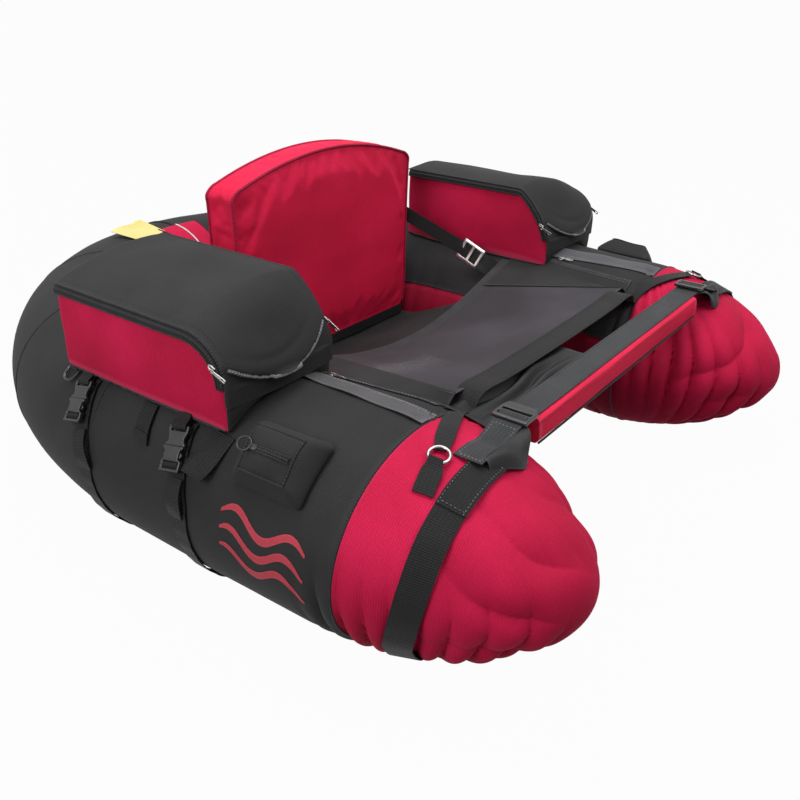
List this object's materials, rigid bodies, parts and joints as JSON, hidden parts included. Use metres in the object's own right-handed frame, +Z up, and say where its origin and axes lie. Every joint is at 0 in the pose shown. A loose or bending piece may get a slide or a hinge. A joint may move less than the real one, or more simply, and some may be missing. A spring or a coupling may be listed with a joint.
{
  "type": "float tube",
  "caption": "U-shaped inflatable float tube with a mesh sling seat, folding backrest, zipped side bags, small pouches, an open stern-to-bow well and a swing-away front bar.",
  "frame": {"origin": "on the ground, under the middle of the pontoon's box", "axes": "+Z up, -Y towards the open front that the angler faces, +X to the angler's left"},
  "size_m": [1.105, 1.296, 0.503],
  "materials": {
    "black_polyester": "matt woven",
    "red_polyester": "matt woven",
    "grey_flap_cloth": "matt woven",
    "seat_mesh": "open mesh",
    "black_webbing": "ribbed webbing",
    "black_acetal": "satin moulded",
    "nickel_plated_steel": "plated",
    "black_vinyl": "smooth",
    "grey_foam": "closed-cell foam"
  },
  "bodies": {
    "tube": {"air_bladder": "black_vinyl", "valve_body": "black_vinyl", "seat_panel": "seat_mesh", "seat_rear_band": "black_webbing", "seat_front_band": "black_webbing", "seat_base": "black_polyester", "lap_apron": "black_polyester", "cover_top_right": "black_polyester", "cover_bottom_right": "red_polyester", "tip_cap_right": "red_polyester", "zip_flap_right": "grey_flap_cloth", "strap_ring_right": "nickel_plated_steel", "ring_tab_right": "black_webbing", "backrest_strap_right": "black_webbing", "backrest_slider_right": "nickel_plated_steel", "bag_body_right": "black_polyester", "bag_strap_front_right": "black_webbing", "bag_strap_rear_right": "black_webbing", "buckle_plug_front_right": "black_acetal", "buckle_plug_rear_right": "black_acetal", "pouch_right": "black_polyester", "tip_strap_right": "black_webbing", "cover_top_left": "black_polyester", "cover_bottom_left": "red_polyester", "tip_cap_left": "red_polyester", "zip_flap_left": "grey_flap_cloth", "strap_ring_left": "nickel_plated_steel", "ring_tab_left": "black_webbing", "backrest_strap_left": "black_webbing", "backrest_slider_left": "nickel_plated_steel", "bag_body_left": "black_polyester", "bag_strap_front_left": "black_webbing", "bag_strap_rear_left": "black_webbing", "buckle_plug_front_left": "black_acetal", "buckle_plug_rear_left": "black_acetal", "pouch_left": "black_polyester", "tip_strap_left": "black_webbing"},
    "valve_cap": {"valve_cap": "black_vinyl"},
    "backrest": {"backrest_cushion": "red_polyester"},
    "front_bar": {"bar_core": "grey_foam", "bar_sleeve": "red_polyester", "bar_webbing": "black_webbing"},
    "bag_lid_right": {"bag_lid_right": "black_polyester"},
    "bag_slider_outer_right": {"bag_slider_outer_right": "nickel_plated_steel"},
    "bag_slider_inner_right": {"bag_slider_inner_right": "nickel_plated_steel"},
    "buckle_socket_front_right": {"buckle_socket_front_right": "black_acetal"},
    "buckle_socket_rear_right": {"buckle_socket_rear_right": "black_acetal"},
    "d_ring_right": {"d_ring_right": "black_acetal"},
    "cover_slider_right": {"cover_slider_right": "nickel_plated_steel"},
    "pouch_slider_right": {"pouch_slider_right": "nickel_plated_steel"},
    "bag_lid_left": {"bag_lid_left": "black_polyester"},
    "bag_slider_outer_left": {"bag_slider_outer_left": "nickel_plated_steel"},
    "bag_slider_inner_left": {"bag_slider_inner_left": "nickel_plated_steel"},
    "buckle_socket_front_left": {"buckle_socket_front_left": "black_acetal"},
    "buckle_socket_rear_left": {"buckle_socket_rear_left": "black_acetal"},
    "d_ring_left": {"d_ring_left": "black_acetal"},
    "cover_slider_left": {"cover_slider_left": "nickel_plated_steel"},
    "pouch_slider_left": {"pouch_slider_left": "nickel_plated_steel"},
    "bar_buckle_right": {"bar_buckle_right": "black_acetal"},
    "bar_buckle_left": {"bar_buckle_left": "black_acetal"}
  },
  "joints": [
    {"name": "backrest_fold", "type": "hinge", "parent": "tube", "child": "backrest", "pos_m": [0, 0.052, 0.15], "axis": [1, 0, 0], "range_deg": [0, 50]},
    {"name": "front_bar_swing", "type": "hinge", "parent": "tube", "child": "front_bar", "pos_m": [0.314, -0.486, 0.294], "axis": [0, 0, 1], "range_deg": [0, 70]},
    {"name": "valve_cap_turn", "type": "hinge", "parent": "tube", "child": "valve_cap", "pos_m": [0.2847, 0.1929, 0.3004], "axis": [-0.3396, -0.1384, 0.9303], "range_deg": [0, 360]},
    {"name": "bag_lid_right_open", "type": "hinge", "parent": "tube", "child": "bag_lid_right", "pos_m": [-0.405, 0.11, 0.3975], "axis": [-1, 0, 0], "range_deg": [0, 110]},
    {"name": "bag_zip_outer_right", "type": "slide", "parent": "tube", "child": "bag_slider_outer_right", "axis": [0, 0.9871, 0.16], "range_m": [0, 0.16]},
    {"name": "bag_zip_inner_right", "type": "slide", "parent": "tube", "child": "bag_slider_inner_right", "axis": [0, 0.9871, 0.16], "range_m": [0, 0.16]},
    {"name": "buckle_front_right_release", "type": "slide", "parent": "tube", "child": "buckle_socket_front_right", "axis": [-0.5816, -0.1994, -0.7887], "range_m": [0, 0.025]},
    {"name": "buckle_rear_right_release", "type": "slide", "parent": "tube", "child": "buckle_socket_rear_right", "axis": [-0.5938, -0.1553, -0.7895], "range_m": [0, 0.025]},
    {"name": "d_ring_right_swing", "type": "hinge", "parent": "tube", "child": "d_ring_right", "pos_m": [-0.4933, 0.0911, 0.2601], "axis": [0.1283, 0.9917, 0], "range_deg": [0, 60]},
    {"name": "cover_zip_right", "type": "slide", "parent": "tube", "child": "cover_slider_right", "axis": [0.0567, -0.9982, 0.0186], "range_m": [0, 0.11]},
    {"name": "pouch_zip_right", "type": "slide", "parent": "tube", "child": "pouch_slider_right", "axis": [0.0302, -0.9995, 0], "range_m": [0, 0.045]},
    {"name": "bag_lid_left_open", "type": "hinge", "parent": "tube", "child": "bag_lid_left", "pos_m": [0.405, 0.11, 0.3975], "axis": [-1, 0, 0], "range_deg": [0, 110]},
    {"name": "bag_zip_outer_left", "type": "slide", "parent": "tube", "child": "bag_slider_outer_left", "axis": [0, 0.9871, 0.16], "range_m": [0, 0.16]},
    {"name": "bag_zip_inner_left", "type": "slide", "parent": "tube", "child": "bag_slider_inner_left", "axis": [0, 0.9871, 0.16], "range_m": [0, 0.16]},
    {"name": "buckle_front_left_release", "type": "slide", "parent": "tube", "child": "buckle_socket_front_left", "axis": [0.5816, -0.1994, -0.7887], "range_m": [0, 0.025]},
    {"name": "buckle_rear_left_release", "type": "slide", "parent": "tube", "child": "buckle_socket_rear_left", "axis": [0.5938, -0.1553, -0.7895], "range_m": [0, 0.025]},
    {"name": "d_ring_left_swing", "type": "hinge", "parent": "tube", "child": "d_ring_left", "pos_m": [0.4933, 0.0911, 0.2601], "axis": [0.1283, -0.9917, 0], "range_deg": [0, 60]},
    {"name": "cover_zip_left", "type": "slide", "parent": "tube", "child": "cover_slider_left", "axis": [-0.0567, -0.9982, 0.0186], "range_m": [0, 0.11]},
    {"name": "pouch_zip_left", "type": "slide", "parent": "tube", "child": "pouch_slider_left", "axis": [-0.0302, -0.9995, 0], "range_m": [0, 0.045]},
    {"name": "bar_buckle_right_slide", "type": "slide", "parent": "front_bar", "child": "bar_buckle_right", "axis": [1, 0, 0], "range_m": [0, 0.05]},
    {"name": "bar_buckle_left_slide", "type": "slide", "parent": "front_bar", "child": "bar_buckle_left", "axis": [-1, 0, 0], "range_m": [0, 0.05]}
  ]
}
